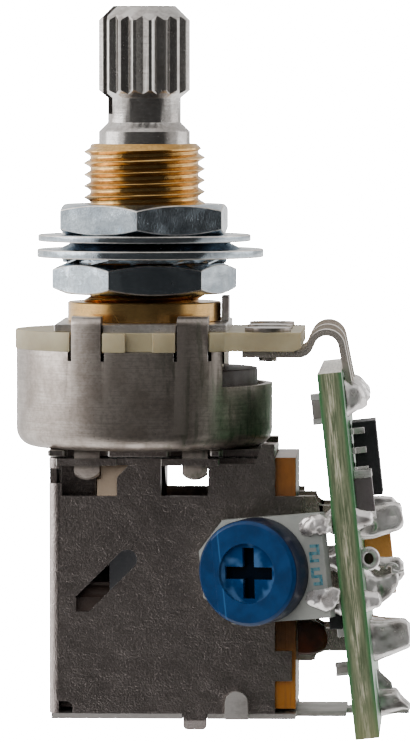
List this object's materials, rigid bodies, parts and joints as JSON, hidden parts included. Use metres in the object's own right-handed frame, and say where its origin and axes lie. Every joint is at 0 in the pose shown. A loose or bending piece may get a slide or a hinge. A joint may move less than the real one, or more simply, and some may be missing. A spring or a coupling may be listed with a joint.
{
  "type": "rotary potentiometer",
  "caption": "Push-pull rotary potentiometer: splined split shaft, threaded bushing with nuts and washers, round can, slide switch below and a small circuit board with a trimmer.",
  "frame": {"origin": "on the shaft axis at the bushing's shoulder, the top face of its flange", "axes": "+Z along the shaft towards its tip, +X towards the circuit board"},
  "size_m": [0.0261, 0.022, 0.0473],
  "materials": {
    "nickel": "satin nickel plate",
    "shaft_metal": "fine turned, bright",
    "brass": "turned, bright",
    "zinc": "blue zinc plate",
    "shell_steel": "brushed, dark",
    "wafer": "moulded, cream",
    "carbon": "printed carbon",
    "dark_plastic": "moulded, dark brown",
    "cream_plastic": "moulded",
    "spring_metal": "rolled",
    "phenolic": "laminated, translucent orange brown",
    "lug_metal": "tinned",
    "board": "green solder mask on glass laminate",
    "chip_black": "moulded epoxy",
    "solder": "bright solder",
    "ceramic_dark": "sintered",
    "tantalum": "moulded, orange",
    "chip_grey": "sintered",
    "trimmer_white": "off-white laminate",
    "trimmer_blue": "moulded, blue",
    "peg_plastic": "moulded"
  },
  "bodies": {
    "housing": {"bushing": "brass", "upper_nut": "zinc", "flat_washer": "zinc", "dished_washer": "zinc", "lock_washer": "zinc", "lower_nut": "zinc", "front_plate": "nickel", "wafer": "wafer", "resistance_track": "carbon", "pot_terminal_1": "lug_metal", "pot_terminal_2": "lug_metal", "pot_terminal_3": "lug_metal", "terminal_rivets": "nickel", "can": "nickel", "adapter_plate": "shell_steel", "switch_top_plate": "shell_steel", "switch_shell": "shell_steel", "switch_base_plate": "shell_steel", "guide_block": "cream_plastic", "detent_spring": "nickel", "terminal_board": "phenolic", "switch_lug_1": "lug_metal", "switch_lug_2": "lug_metal", "switch_lug_3": "lug_metal", "switch_lug_4": "lug_metal", "switch_lug_5": "lug_metal", "switch_lug_6": "lug_metal", "locating_peg": "peg_plastic", "circuit_board": "board", "amplifier_chip": "chip_black", "chip_leads": "solder", "filter_capacitor": "ceramic_dark", "filter_capacitor_ends": "solder", "tantalum_capacitor": "tantalum", "tantalum_ends": "solder", "small_chip_bodies": "chip_grey", "small_chip_ends": "solder", "transistor": "chip_black", "transistor_leads": "solder", "trimmer_base": "trimmer_white", "trimmer_legs": "lug_metal", "terminal_solder": "solder", "lug_solder": "solder", "trimmer_solder": "solder", "ground_solder": "solder"},
    "shaft": {"shaft": "shaft_metal"},
    "carrier": {"wiper_carrier": "dark_plastic", "wiper": "spring_metal"},
    "slide": {"slider": "dark_plastic", "retaining_clip": "nickel", "moving_contact_1": "spring_metal", "moving_contact_2": "spring_metal"},
    "trimmer": {"trimmer_disc": "trimmer_blue"}
  },
  "joints": [
    {"name": "shaft_pull", "type": "slide", "parent": "housing", "child": "slide", "axis": [0, 0, 1], "range_m": [0, 0.004]},
    {"name": "shaft_turn", "type": "hinge", "parent": "slide", "child": "shaft", "pos_m": [0, 0, 0], "axis": [0, 0, 1], "range_deg": [-150, 150]},
    {"name": "carrier_turn", "type": "hinge", "parent": "housing", "child": "carrier", "pos_m": [0, 0, 0], "axis": [0, 0, 1], "range_deg": [-150, 150]},
    {"name": "trimmer_turn", "type": "hinge", "parent": "housing", "child": "trimmer", "pos_m": [0.00706, -0.0108, -0.01715], "axis": [-0.3725, -0.9272, -0.0395], "range_deg": [-120, 120]}
  ],
  "couplings": [
    {"joint": "carrier_turn", "follows": "shaft_turn", "ratio": 1}
  ]
}
